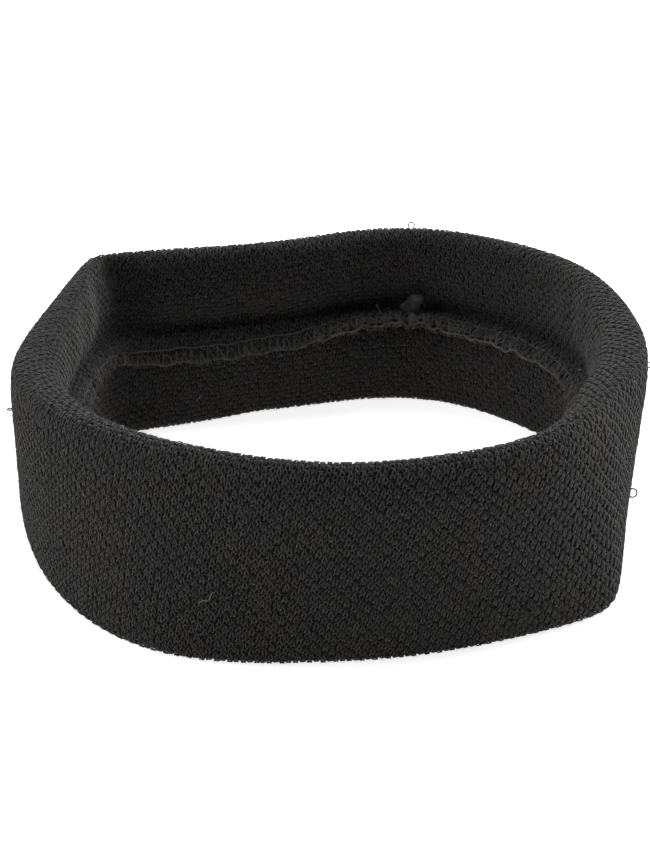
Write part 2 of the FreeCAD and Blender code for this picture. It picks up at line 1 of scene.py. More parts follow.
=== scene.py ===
# A hollow knitted band in a closed ring, standing on its lower rim, with an overlocked seam
# flap on the inner wall.  +Z is up and the camera looks from the front (-Y).  Lengths are in mm
# and are scaled to metres when meshes are made; lights and camera are in metres.
#   s  ring fraction, counterclockwise from above: 0 right, 0.25 back, 0.5 left, 0.75 front
#   r  distance outward of the middle of the wall; negative is inside the ring
#   z  height above the lower rim
import math
import bpy
import numpy as np
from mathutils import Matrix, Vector


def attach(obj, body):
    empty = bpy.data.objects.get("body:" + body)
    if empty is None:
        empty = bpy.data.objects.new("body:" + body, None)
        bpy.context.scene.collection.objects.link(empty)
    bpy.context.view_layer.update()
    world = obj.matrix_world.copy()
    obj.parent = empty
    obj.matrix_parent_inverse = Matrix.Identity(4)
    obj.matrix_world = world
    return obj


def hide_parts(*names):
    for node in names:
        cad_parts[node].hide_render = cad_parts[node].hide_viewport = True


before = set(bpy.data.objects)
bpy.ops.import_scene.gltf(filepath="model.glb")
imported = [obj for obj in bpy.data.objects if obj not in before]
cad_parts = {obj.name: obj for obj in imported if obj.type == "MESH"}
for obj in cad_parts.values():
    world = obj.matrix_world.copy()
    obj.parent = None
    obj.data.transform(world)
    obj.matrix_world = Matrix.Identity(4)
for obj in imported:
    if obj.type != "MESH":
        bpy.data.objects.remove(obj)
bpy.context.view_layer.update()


RNG = np.random.default_rng(20212)   # stitches, loopers and edge cord draw from it in turn

# ------------------------------------------------------------------ driving sizes (mm)
MM = 0.001                           # metres in a millimetre
BAND_HEIGHT, RING_LENGTH = 54.0, 496.9
RIM_HALF, WALL_HALF = 3.24, 3.80     # half thickness of the hollow band at a rim and mid-height
PLY = 1.70                           # knit thickness
FLAP_PLY, FLAP_GAP = 1.10, 0.30
FLAP_LIFT = (FLAP_PLY + FLAP_GAP) / 2   # flap's middle to the middle of a ply
FLAP_FACE = FLAP_PLY + FLAP_GAP / 2     # flap's middle to its face
SEAM_Z, SEAM_R = 28.9, -1.80
FLAP_LENGTH, FLAP_ROOT_TILT = 8.0, 8.0  # tilt in degrees below level
REST_FLAT = 0.15                     # how far the lower rim is let into the floor plane
CROSS_SEAM_S = 0.177
PLAN_SHIFT = (45.9625, -83.8633)     # moves the plan, and the camera with it

WALES = 318                          # stitch columns round the ring
COURSE = 1.561                       # spacing of stitch rows
PLAN_POINTS = 1920                   # points round each rim
STATIONS, PATH_STEPS = 2 * WALES, 480   # size of the table of the knit's face
FLAP_STEPS = 14

# Tables round the ring: (ring fraction, value).  Each runs on smoothly into its first row.
# degrees below level at the flap's raw edge
FLAP_DROOP = [(0.00, 50), (0.02, 53), (0.035, 56), (0.045, 58), (0.055, 50), (0.068, 42),
              (0.083, 29), (0.105, 18), (0.13, 18), (0.155, 17), (0.178, 2), (0.20, 2),
              (0.22, 8), (0.238, 18), (0.252, 38), (0.268, 64), (0.30, 74), (0.345, 76),
              (0.366, 80), (0.395, 80), (0.405, 74), (0.415, 66), (0.43, 60), (0.47, 66),
              (0.60, 70), (0.80, 62), (0.95, 56)]
# mm added to the flap's length
FLAP_EXTRA = [(0.00, 1.4), (0.02, 0.5), (0.035, 0.0), (0.045, -0.3), (0.06, -1.2),
              (0.075, -1.4), (0.09, -0.8), (0.11, 0.0), (0.24, 0.0), (0.27, 0.5),
              (0.305, 1.2), (0.345, 0.6), (0.364, -0.6), (0.378, -1.8), (0.40, -1.6),
              (0.42, -1.2), (0.44, -0.4), (0.47, 0.0), (0.95, 0.0), (0.98, 1.0)]
# mm the inner wall is pinched (negative) or bunched inward
PINCH = [(0.00, 0.0), (0.335, 0.0), (0.364, -2.2), (0.380, -1.8), (0.41, 0.0)]
BUNCH = [(0.00, 4.6), (0.03, 3.4), (0.06, 1.8), (0.09, 0.6), (0.12, 0.0), (0.395, 0.0),
         (0.42, 1.4), (0.46, 3.2), (0.50, 4.6), (0.54, 5.0), (0.565, 4.9), (0.58, 4.2),
         (0.60, 3.0), (0.62, 1.9), (0.65, 0.8), (0.68, 0.0), (0.83, 0.0), (0.86, 1.2),
         (0.88, 2.8), (0.90, 4.4), (0.92, 5.6), (0.95, 6.0)]
# ripples of the raw edge: (waves round the ring, mm, phase)
RIPPLES = [(41, 0.30, 0.3), (67, 0.24, 1.9), (101, 0.20, 4.1), (139, 0.12, 2.2)]
RIPPLE_GAIN = 1.05


# ------------------------------------------------------------------ small maths
def unit(vectors, guard=0.0):
    return vectors / (np.linalg.norm(vectors, axis=-1, keepdims=True) + guard)


def clamp(t):
    return max(0.0, min(1.0, t))


def ease(t):
    return t * t * (3 - 2 * t)


def table_value(rows, s):
    s = s % 1.0
    for (s0, v0), (s1, v1) in zip(rows, rows[1:] + [(1.0, rows[0][1])]):
        if s < s1:
            return v0 + (v1 - v0) * ease((s - s0) / (s1 - s0))


def spline(points, per):
    """Catmull-Rom curve through the points, with `per` steps to a span."""
    P = np.asarray(points, float)
    n = len(P)
    out = []
    for i in range(n - 1):
        p0, p1, p2, p3 = P[max(0, i - 1)], P[i], P[i + 1], P[min(n - 1, i + 2)]
        for j in range(per):
            t = j / per
            out.append(0.5 * (2 * p1 + (p2 - p0) * t + (2 * p0 - 5 * p1 + 4 * p2 - p3) * t * t
                              + (3 * p1 - p0 - 3 * p2 + p3) * t ** 3))
    out.append(P[-1])
    return np.array(out)


# ------------------------------------------------------------------ plan of the two rims
def rim(start, waves, corners, centre):
    """Plan points of a rim, summed from its heading (radians).

    waves holds cosine and sine terms in pairs; a corner is (turn, ring fraction, softness).
    """
    s = (np.arange(PLAN_POINTS) + 0.5) / PLAN_POINTS
    heading = 2 * np.pi * s + start
    for k in range(len(waves) // 2):
        phase = 2 * np.pi * (k + 1) * s
        heading = heading + waves[2 * k] * np.cos(phase) + waves[2 * k + 1] * np.sin(phase)
    for turn, at, softness in corners:
        heading = heading + turn * (0.5 * (1 + np.tanh((s - at) / softness)) - s)
    axes = []
    for step, middle, shift in zip((np.cos(heading), np.sin(heading)), centre, PLAN_SHIFT):
        step -= step.mean()          # closes the ring
        along = np.cumsum(step) * RING_LENGTH / PLAN_POINTS
        axes.append(along - along.mean() + middle + shift)
    return np.stack(axes, 1)


TOP = rim(
    start=1.72635,
    waves=[0.2365, 0.1381, -0.2559, 0.021, -0.0352, -0.144, -0.0456, -0.0113, 0.0398,
           0.0376, -0.0463, 0.035, 0.0006, 0.0004, 0.0332, -0.0184, 0.0294, -0.0142],
    corners=[(1.1339, 0.3676, 0.006), (0.3814, 0.9364, 0.010)],
    centre=(-44.9616, 83.9133))
BOTTOM = rim(
    start=1.74825,
    waves=[0.1307, 0.0083, -0.2737, 0.0776, -0.0807, -0.0753, 0.0715, -0.0296, -0.0813,
           0.0663, -0.0537, 0.0291, -0.0478, -0.0087, -0.0238, 0.0014, -0.0122, 0.0216],
    corners=[(0.4258, 0.2904, 0.010), (0.7083, 0.8851, 0.010), (0.62, 0.382, 0.006)],
    centre=(-45.5246, 84.2271))
TOP_TANGENT, BOTTOM_TANGENT = (np.roll(plan, -2, 0) - np.roll(plan, 2, 0)
                               for plan in (TOP, BOTTOM))


def ring_lookup(table, s):
    at = (np.asarray(s, float) % 1.0) * PLAN_POINTS - 1.0
    i = np.floor(at).astype(int)
    t = (at - i)[..., None]
    return table[i % PLAN_POINTS] * (1 - t) + table[(i + 1) % PLAN_POINTS] * t


def place(s, r, z):
    """Points in space at (s, r, z), and the outward plan normals there."""
    s, r, z = np.broadcast_arrays(np.asarray(s, float), np.asarray(r, float),
                                  np.asarray(z, float))
    t = (z / BAND_HEIGHT)[..., None]
    middle = ring_lookup(BOTTOM, s) * (1 - t) + ring_lookup(TOP, s) * t
    tangent = unit(ring_lookup(BOTTOM_TANGENT, s) * (1 - t) + ring_lookup(TOP_TANGENT, s) * t)
    normal = np.stack([tangent[..., 1], -tangent[..., 0]], -1)
    plan = middle + normal * r[..., None]
    return np.concatenate([plan, (z - REST_FLAT)[..., None]], -1), normal


# ------------------------------------------------------------------ the flap's section
def ripple(s, u):
    wave = sum(size * math.sin(2 * math.pi * k * s + phase) for k, size, phase in RIPPLES)
    return wave * u * u * RIPPLE_GAIN


def flap_line(s):
    """Middle line of the flap from seam to raw edge: rows of (r, z, angle below level)."""
    length = (FLAP_LENGTH + table_value(FLAP_EXTRA, s)
              + 0.30 * math.sin(2 * math.pi * 53 * s + 1.0))
    droop = table_value(FLAP_DROOP, s)
    bend_end = 0.6                   # share of the length in which the flap bends
    r, z = SEAM_R - table_value(BUNCH, s), SEAM_Z
    rows = [(r, z, math.radians(FLAP_ROOT_TILT))]
    for i in range(FLAP_STEPS):
        bend = ease(min(1.0, (i + 0.5) / FLAP_STEPS / bend_end))
        angle = math.radians(FLAP_ROOT_TILT + (droop - FLAP_ROOT_TILT) * bend)
        r -= math.cos(angle) * length / FLAP_STEPS
        z -= math.sin(angle) * length / FLAP_STEPS
        wave = ripple(s, (i + 1) / FLAP_STEPS)
        rows.append((r - math.sin(angle) * wave, z + math.cos(angle) * wave, angle))
    return rows


def flap_point(rows, u, off):
    """(r, z, angle) at share u of the flap's length, `off` above its middle line."""
    at = max(0.0, min(FLAP_STEPS - 0.0001, u * FLAP_STEPS))
    i = int(at)
    t = at - i
    r, z, angle = (a + (b - a) * t for a, b in zip(rows[i], rows[i + 1]))
    over = max(0.0, u - 1.0) * FLAP_LENGTH
    return (r - math.sin(angle) * off - math.cos(angle) * over,
            z + math.cos(angle) * off - math.sin(angle) * over, angle)


def flap_xyz(s, u, off):
    """Point in space on the flap, and the upward normal of the flap there."""
    r, z, angle = flap_point(flap_line(s), u, off)
    point, n = place(s, r, z)
    return point, np.array([-n[0] * math.sin(angle), -n[1] * math.sin(angle), math.cos(angle)])


def flap_path(samples):
    points, normals = zip(*(flap_xyz(*sample) for sample in samples))
    return np.array(points), np.array(normals)


# ------------------------------------------------------------------ the wall's section
RIM_BLEND = 11.0                     # height over which a rim widens into the wall
UPPER_SWELL = (40.5, 6.5, 0.75)      # height, spread and depth of the inner wall's swells
LOWER_SWELL = (14.0, 6.5, 0.20)
SEAM_DIP = 2.9                       # hollow of the inner wall at the seam
SEAM_DIP_ABOVE, SEAM_DIP_BELOW = 6.2, 5.2   # its spread either way

# path stations: shares of the flap's length from raw edge to root, then heights
FLAP_STATIONS = (0.985, 0.86, 0.74, 0.61, 0.48, 0.35, 0.23)
UPPER_STATIONS = (32.9, 34.9, 37.3, 39.9, 42.6, 45.3, 48.0)
LOWER_STATIONS = (5.8, 8.6, 11.4, 14.2, 17.0, 19.8, 22.4, 24.6)
# the turn from flap to wall: (r, height above seam, depth below seam, thickness)
SEAM_TURN = [(-2.52, 0.74, 0.60, 1.15), (-1.78, 1.22, 1.36, 1.30), (-1.52, 2.15, 2.35, 1.50)]
FOLD_STATIONS, OUTER_SPANS = 9, 14


def outer_half(z):
    t = np.clip(np.minimum(z, BAND_HEIGHT - z) / RIM_BLEND, 0, 1)
    return RIM_HALF + (WALL_HALF - RIM_HALF) * ease(t)


def pinch_share(z):
    if z > SEAM_Z:
        return ease(clamp((z - SEAM_Z - 1.5) / 8.0))
    return 0.7 * clamp(min(SEAM_Z - 2.0 - z, z - RIM_HALF) / 6.0)


def bunch_share(z):
    return ease(clamp((z - RIM_HALF) / 14.0))


def inner_half(z, s):
    swell = sum(math.exp(-((z - at) / spread) ** 2) * depth
                for at, spread, depth in (UPPER_SWELL, LOWER_SWELL))
    d = (z - SEAM_Z) / (SEAM_DIP_ABOVE if z > SEAM_Z else SEAM_DIP_BELOW)
    return (float(outer_half(z)) + swell - math.exp(-d * d) * SEAM_DIP
            + table_value(PINCH, s) * pinch_share(z) + table_value(BUNCH, s) * bunch_share(z))


def mid_path(s):
    """Middle of the knit as rows of (r, z, thickness).

    It runs from the raw edge along the flap's upper ply, up the inner wall, over the top, down
    the outer wall, under the bottom, and back up the inner wall and out along the lower ply.
    """
    flap = flap_line(s)
    bunch = table_value(BUNCH, s)
    fold, top = RIM_HALF - PLY / 2, BAND_HEIGHT - RIM_HALF
    deep = fold + table_value(PINCH, s) + bunch

    def flap_row(u, lift):
        return (*flap_point(flap, u, lift)[:2], FLAP_PLY)

    def inner_row(z):
        return (-(inner_half(z, s) - PLY / 2), z, PLY)

    rows = [flap_row(u, FLAP_LIFT) for u in FLAP_STATIONS]
    rows += [(r - bunch, SEAM_Z + above, ply) for r, above, _, ply in SEAM_TURN]
    rows += [inner_row(z) for z in UPPER_STATIONS]
    for a in np.linspace(180, 0, FOLD_STATIONS):
        across = deep if a > 90 else fold
        rows.append((across * math.cos(math.radians(a)),
                     top + fold * math.sin(math.radians(a)), PLY))
    for i in range(1, OUTER_SPANS):
        z = top + (RIM_HALF - top) * i / OUTER_SPANS
        rows.append((float(outer_half(z)) - PLY / 2, z, PLY))
    for a in np.linspace(0, -180, FOLD_STATIONS):
        rows.append((fold * math.cos(math.radians(a)),
                     RIM_HALF + fold * math.sin(math.radians(a)), PLY))
    rows += [inner_row(z) for z in LOWER_STATIONS]
    rows += [(r - bunch, SEAM_Z - below, ply) for r, _, below, ply in SEAM_TURN[::-1]]
    rows += [flap_row(u, -FLAP_LIFT) for u in FLAP_STATIONS[::-1]]
    return np.array(rows)


def path_normals(path):
    """Section normals toward the knit's face."""
    along = unit(np.gradient(path[:, :2], axis=0))
    return np.stack([-along[:, 1], along[:, 0]], 1)


# ------------------------------------------------------------------ the knit's face as a table
def face_table(smoothing_passes=10):
    """r and z of the face at (station, even steps of path), and the mean path length."""
    face_r, face_z = np.empty((2, STATIONS, PATH_STEPS))
    lengths = []
    for i in range(STATIONS):
        path = mid_path(i / STATIONS)
        line = path[:, :2] + path_normals(path) * path[:, 2:3] / 2
        steps = np.linalg.norm(np.diff(line, axis=0), axis=1)
        arc = np.concatenate([[0.0], np.cumsum(steps)])
        even = np.linspace(0, 1, PATH_STEPS)
        face_r[i] = np.interp(even, arc / arc[-1], line[:, 0])
        face_z[i] = np.interp(even, arc / arc[-1], line[:, 1])
        lengths.append(arc[-1])
    for _ in range(smoothing_passes):
        for F in (face_r, face_z):
            F[:, 1:-1] = F[:, 1:-1] * 0.5 + (F[:, :-2] + F[:, 2:]) * 0.25
    return face_r, face_z, float(np.mean(lengths))


FACE_R, FACE_Z, PATH_LENGTH = face_table()
COURSES = int(round(PATH_LENGTH / COURSE))
slope_r, slope_z = np.gradient(FACE_R, axis=1), np.gradient(FACE_Z, axis=1)
slope = np.hypot(slope_r, slope_z)
NORMAL_R, NORMAL_Z = -slope_z / slope, slope_r / slope


def bilinear(F, s, q):
    a = (s % 1.0) * STATIONS
    i = np.floor(a).astype(int)
    t = a - i
    i %= STATIONS
    b = np.clip(q, 0, 1) * (PATH_STEPS - 1)
    j = np.minimum(np.floor(b).astype(int), PATH_STEPS - 2)
    w = b - j
    i2 = (i + 1) % STATIONS
    return ((F[i, j] * (1 - w) + F[i, j + 1] * w) * (1 - t)
            + (F[i2, j] * (1 - w) + F[i2, j + 1] * w) * t)


def surf(s, q, lift):
    """Points `lift` out of the knit's face at ring fraction s and path fraction q, and normals."""
    s, q, lift = np.broadcast_arrays(s, q, lift)
    nr, nz = bilinear(NORMAL_R, s, q), bilinear(NORMAL_Z, s, q)
    size = np.hypot(nr, nz)
    nr, nz = nr / size, nz / size
    r, z = bilinear(FACE_R, s, q) + nr * lift, bilinear(FACE_Z, s, q) + nz * lift
    points, plan = place(s, r, z)
    points[..., 2] = np.maximum(points[..., 2], 0.02)   # stays above the floor
    return points, np.concatenate([plan * nr[..., None], nz[..., None]], -1)


# ------------------------------------------------------------------ mesh helpers
def mesh_object(name, verts, quads, tris, tone):
    """Smooth mesh from vertices in mm; tone is a shade per vertex, read by the materials."""
    me = bpy.data.meshes.new(name)
    me.vertices.add(len(verts))
    me.vertices.foreach_set("co", (verts * MM).astype(np.float32).ravel())
    nq, nt = len(quads), len(tris)
    loops = np.concatenate([quads.ravel(), tris.ravel()]).astype(np.int32)
    me.loops.add(len(loops))
    me.loops.foreach_set("vertex_index", loops)
    me.polygons.add(nq + nt)
    starts = np.concatenate([np.arange(nq) * 4, nq * 4 + np.arange(nt) * 3]).astype(np.int32)
    me.polygons.foreach_set("loop_start", starts)
    me.polygons.foreach_set("use_smooth", np.ones(nq + nt, bool))
    shade = me.attributes.new("tone", "FLOAT", "POINT")
    shade.data.foreach_set("value", np.asarray(tone, np.float32))
    me.update(calc_edges=True)
    me.validate()
    ob = bpy.data.objects.new(name, me)
    bpy.context.scene.collection.objects.link(ob)
    return ob


NO_TRIS = np.empty((0, 3), int)


def tube(path, normals, radius, sides, closed, flat):
    """Vertices, quads and end triangles of a tube; `flat` scales it along the normals."""
    n = len(path)
    if closed:
        T = np.roll(path, -1, 0) - np.roll(path, 1, 0)
    else:
        T = np.gradient(path, axis=0)
    T = unit(T, 1e-12)
    N = unit(normals - (normals * T).sum(1, keepdims=True) * T, 1e-12)
    B = np.cross(T, N)
    a = 2 * np.pi * (np.arange(sides) + 0.5) / sides
    radius = np.broadcast_to(radius, (n,)).reshape(n, 1, 1)
    ring = (np.cos(a)[None, :, None] * B[:, None]
            + np.sin(a)[None, :, None] * flat * N[:, None])
    verts = (path[:, None] + radius * ring).reshape(-1, 3)
    I, K = np.meshgrid(np.arange(n if closed else n - 1), np.arange(sides), indexing="ij")
    I2, K2 = (I + 1) % n, (K + 1) % sides
    quads = np.stack([I * sides + K2, I2 * sides + K2, I2 * sides + K, I * sides + K],
                     -1).reshape(-1, 4)
    if closed:
        return verts, quads, NO_TRIS
    start, end, last_ring = len(verts), len(verts) + 1, (n - 1) * sides
    tris = [(j, (j + 1) % sides, start) for j in range(sides)]
    tris += [(last_ring + (j + 1) % sides, last_ring + j, end) for j in range(sides)]
    return np.concatenate([verts, path[:1], path[-1:]]), quads, np.array(tris)


class Strands:
    """Collects tubes into one mesh."""

    def __init__(self):
        self.verts, self.quads, self.tris, self.tones = [], [], [], []
        self.count = 0

    def add(self, path, normals, radius, sides, tone, closed=False, flat=1.0, lowest=-np.inf):
        """Adds a tube.  normals may be one vector; tone one value, or one per point if closed."""
        verts, quads, tris = tube(path, np.broadcast_to(normals, path.shape), radius, sides,
                                  closed, flat)
        verts[:, 2] = np.maximum(verts[:, 2], lowest)
        self.verts.append(verts)
        self.quads.append(quads + self.count)
        self.tris.append(tris + self.count)
        self.tones.append(np.repeat(tone, sides) if np.ndim(tone)
                          else np.full(len(verts), tone))
        self.count += len(verts)

    def build(self, name):
        return mesh_object(name, *map(np.concatenate,
                                      (self.verts, self.quads, self.tris, self.tones)))


def dress(ob, material, node=None, body="band"):
    ob.data.materials.append(material)
    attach(ob, body)
    if node:
        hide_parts(node)


def lone_strand(name, material, slot, node, *shape, **options):
    strands = Strands()
    strands.add(*shape, **options)
    dress(strands.build(name), material, node)


# ------------------------------------------------------------------ materials
def add_node(tree, kind, inputs=None, **settings):
    node = tree.nodes.new("ShaderNode" + kind)
    for key, value in settings.items():
        setattr(node, key, value)
    for key, value in (inputs or {}).items():
        node.inputs[key].default_value = value
    return node


def new_material(name):
    """A material, its node tree, and its output and Principled nodes."""
    material = bpy.data.materials.new(name)
    material.use_nodes = True
    tree = material.node_tree
    tree.nodes.clear()
    return material, tree, add_node(tree, "OutputMaterial"), add_node(tree, "BsdfPrincipled")


def textile(name, dark, light, warm, fibre, rough=0.88, sheen=0.35, bump=0.4):
    """Spun yarn: fibre noise in colour, roughness and bump, with a slow drift to `warm`."""
    material, tree, output, shader = new_material(name)
    link = tree.links.new
    link(shader.outputs["BSDF"], output.inputs["Surface"])
    coords = add_node(tree, "TexCoord")
    fibres = add_node(tree, "TexNoise", {"Scale": fibre, "Detail": 4.0, "Roughness": 0.65})
    drift = add_node(tree, "TexNoise", {"Scale": 55.0, "Detail": 3.0})
    link(coords.outputs["Object"], fibres.inputs["Vector"])
    link(coords.outputs["Object"], drift.inputs["Vector"])

    ramp = add_node(tree, "ValToRGB")
    stops = ramp.color_ramp.elements
    for stop, position, colour in zip(stops, (0.30, 0.72), (dark, light)):
        stop.position = position
        stop.color = (*colour, 1)
    link(fibres.outputs["Fac"], ramp.inputs["Fac"])
    mix = add_node(tree, "Mix", {"B": (*warm, 1)}, data_type="RGBA")
    warmth = add_node(tree, "MapRange", {"From Min": 0.45, "From Max": 0.75, "To Max": 0.55})
    link(drift.outputs["Fac"], warmth.inputs["Value"])
    link(warmth.outputs["Result"], mix.inputs["Factor"])
    link(ramp.outputs["Color"], mix.inputs["A"])

    tone = add_node(tree, "Attribute", attribute_name="tone")
    gain = add_node(tree, "MapRange", {"To Min": 0.55, "To Max": 1.45})
    shaded = add_node(tree, "VectorMath", operation="SCALE")
    link(tone.outputs["Fac"], gain.inputs["Value"])
    link(mix.outputs["Result"], shaded.inputs[0])
    link(gain.outputs["Result"], shaded.inputs["Scale"])
    link(shaded.outputs["Vector"], shader.inputs["Base Color"])

    roughness = add_node(tree, "MapRange",
                         {"To Min": rough - 0.08, "To Max": min(1.0, rough + 0.10)})
    link(fibres.outputs["Fac"], roughness.inputs["Value"])
    link(roughness.outputs["Result"], shader.inputs["Roughness"])
    shader.inputs["Specular IOR Level"].default_value = 0.08
    shader.inputs["Sheen Weight"].default_value = sheen
    shader.inputs["Sheen Roughness"].default_value = 0.45
    relief = add_node(tree, "Bump", {"Strength": bump, "Distance": 0.00012})
    link(fibres.outputs["Fac"], relief.inputs["Height"])
    link(relief.outputs["Normal"], shader.inputs["Normal"])
    return material


YARN = textile("knit_yarn", dark=(0.025, 0.0247, 0.0248), light=(0.049, 0.0482, 0.0480),
               warm=(0.044, 0.041, 0.039), fibre=2600.0, sheen=0.14)
# painted shade: the wrong-side core is far darker than the yarn, standing in for the shadow deep
# in the holes between stitches
CORE_PAINTED_SHADE = textile("knit_core_painted_shade", dark=(0.007, 0.007, 0.007), light=(0.013, 0.013, 0.013),
               warm=(0.011, 0.0105, 0.010), fibre=1800.0, sheen=0.0)
SERGE = textile("serger_thread", dark=(0.032, 0.031, 0.0305), light=(0.080, 0.078, 0.075),
                warm=(0.084, 0.074, 0.063), fibre=4200.0, sheen=0.2)
FUZZ = textile("fibre_fuzz", dark=(0.042, 0.041, 0.0405), light=(0.10, 0.098, 0.096),
               warm=(0.10, 0.091, 0.084), fibre=900.0, rough=0.7, sheen=0.3, bump=0.1)
FILAMENT = textile("elastic_filament", dark=(0.10, 0.098, 0.094), light=(0.20, 0.195, 0.188),
                   warm=(0.22, 0.19, 0.16), fibre=2200.0, rough=0.45, sheen=0.1, bump=0.2)
COVER = textile("covered_elastic", dark=(0.018, 0.018, 0.018), light=(0.06, 0.06, 0.06),
                warm=(0.05, 0.048, 0.046), fibre=2400.0)
LOOPER = textile("looper_thread", dark=(0.027, 0.0262, 0.0257), light=(0.062, 0.0605, 0.0585),
                 warm=(0.062, 0.056, 0.049), fibre=4200.0, sheen=0.2)
DARK = textile("dark_filament", dark=(0.022, 0.021, 0.020), light=(0.05, 0.047, 0.044),
               warm=(0.06, 0.045, 0.035), fibre=2200.0, rough=0.5, sheen=0.05, bump=0.2)
LINT = textile("lint", dark=(0.30, 0.29, 0.27), light=(0.55, 0.53, 0.50),
               warm=(0.60, 0.45, 0.32), fibre=1500.0, rough=0.7, bump=0.1)

# ------------------------------------------------------------------ the knit
# One closed yarn per course.  Each stitch shows two legs spread like an inverted V;
# its feet and head dip behind the neighbouring courses.  Columns and rows alternate
# between a full, proud stitch and a small, sunk one, which leaves a staggered grid of
# dark holes.
# Rows: (across in columns, up in courses, out in mm, yarn radius in mm)
PROUD = np.array([
    (-0.50, 0.40, -0.40, 0.17), (-0.15, 0.46, -0.26, 0.19), (-0.10, 0.16, -0.04, 0.21),
    (-0.21, -0.24, 0.00, 0.215), (-0.33, -0.56, -0.14, 0.20), (-0.03, -0.84, -0.66, 0.17),
    (0.36, -0.70, -0.18, 0.20), (0.27, -0.30, 0.00, 0.215), (0.11, 0.14, -0.04, 0.21),
    (0.10, 0.44, -0.32, 0.19)])
SUNK = np.array([
    (-0.50, 0.36, -0.70, 0.16), (-0.43, -0.02, -0.58, 0.18), (-0.35, -0.40, -0.28, 0.20),
    (-0.26, -0.06, -0.12, 0.205), (-0.11, 0.24, -0.11, 0.205), (0.07, 0.28, -0.12, 0.205),
    (0.20, 0.02, -0.15, 0.205), (0.28, -0.32, -0.30, 0.19), (0.38, -0.10, -0.58, 0.17),
    (0.46, 0.20, -0.54, 0.17)])
COURSES_PER_OBJECT = 7
STITCH_LIFT = 0.10
# random spread of each stitch across, up and out, and of its tone
JITTER_ACROSS, JITTER_UP, JITTER_OUT, JITTER_TONE = (
    RNG.normal(0, spread, (COURSES, WALES)) for spread in (0.060, 0.080, 0.040, 0.10))
TONE = np.clip(0.5 + JITTER_TONE, 0, 1)
# slow drift of the stitches out of line, held at every third course and column
DRIFT_PITCH = 3
DRIFT_ACROSS, DRIFT_UP = (
    RNG.normal(0, spread, (COURSES // DRIFT_PITCH + 3, WALES // DRIFT_PITCH + 2))
    for spread in (0.12, 0.10))


def drift_along(field, j):
    """Drift of every stitch in course j."""
    a, b = j / DRIFT_PITCH, np.arange(WALES) / DRIFT_PITCH
    a0 = int(a)
    b0 = np.floor(b).astype(int)
    ta, tb = a - a0, b - b0
    return ((field[a0, b0] * (1 - tb) + field[a0, b0 + 1] * tb) * (1 - ta)
            + (field[a0 + 1, b0] * (1 - tb) + field[a0 + 1, b0 + 1] * tb) * ta)


def add_course(strands, j):
    i = np.arange(WALES)
    proud = ((i + j) % 2 == 0)[:, None]
    odd = (i % 2 == 1)[:, None]
    shape = np.where(proud[..., None], PROUD[None], SUNK[None])
    across = i[:, None] + shape[..., 0] + JITTER_ACROSS[j][:, None]
    across = across + drift_along(DRIFT_ACROSS, j)[:, None]
    up = shape[..., 1] * np.where(odd & proud, 1.06, 1.0) + JITTER_UP[j][:, None]
    up = up + np.where(odd, 0.06, 0.0) + drift_along(DRIFT_UP, j)[:, None]
    out = shape[..., 2] + JITTER_OUT[j][:, None] + STITCH_LIFT
    q = np.clip(((j + 0.5 - up) / COURSES).ravel(), 0.0005, 0.9995)
    points, normals = surf((across / WALES).ravel(), q, out.ravel())
    strands.add(points, normals, shape[..., 3].ravel(), 4, np.repeat(TONE[j], len(PROUD)),
                closed=True, flat=0.9, lowest=0.004)


def knit_courses():
    for first in range(0, COURSES, COURSES_PER_OBJECT):
        strands = Strands()
        for j in range(first, min(first + COURSES_PER_OBJECT, COURSES)):
            add_course(strands, j)
        name = "knit_courses_%02d" % (first // COURSES_PER_OBJECT)
        dress(strands.build(name), YARN)


def knit_core_painted_shade():
    """Closed wrong-side skin under the stitches, a little inside the face, much darker than the
    yarn as painted shade in the holes between stitches.
    """
    deepest, ply_share = 0.44, 0.42
    rows = []
    for i in range(WALES):
        path = mid_path(i / WALES)
        normals = path_normals(path)
        inset = np.minimum(deepest, path[:, 2:3] * ply_share)
        face = path[:, :2] + normals * (path[:, 2:3] / 2 - inset)
        wrong = path[:, :2] - normals * path[:, 2:3] / 2
        rows.append(np.concatenate([face, wrong[::-1]]))
    rows = np.array(rows)
    n = rows.shape[1]
    points, _ = place((np.arange(WALES) / WALES)[:, None], rows[..., 0], rows[..., 1])
    points[..., 2] = np.maximum(points[..., 2], 0.05)
    I, J = np.meshgrid(np.arange(WALES), np.arange(n), indexing="ij")
    I2, J2 = (I + 1) % WALES, (J + 1) % n
    quads = np.stack([I * n + J, I * n + J2, I2 * n + J2, I2 * n + J], -1).reshape(-1, 4)
    core = mesh_object("knit_core_painted_shade", points.reshape(-1, 3), quads, NO_TRIS,
                       np.full(WALES * n, 0.5))
    dress(core, CORE_PAINTED_SHADE, "knit_body")


knit_courses()
knit_core_painted_shade()

# ------------------------------------------------------------------ overlock threads
STITCHES = 190                       # overlock stitches round the ring


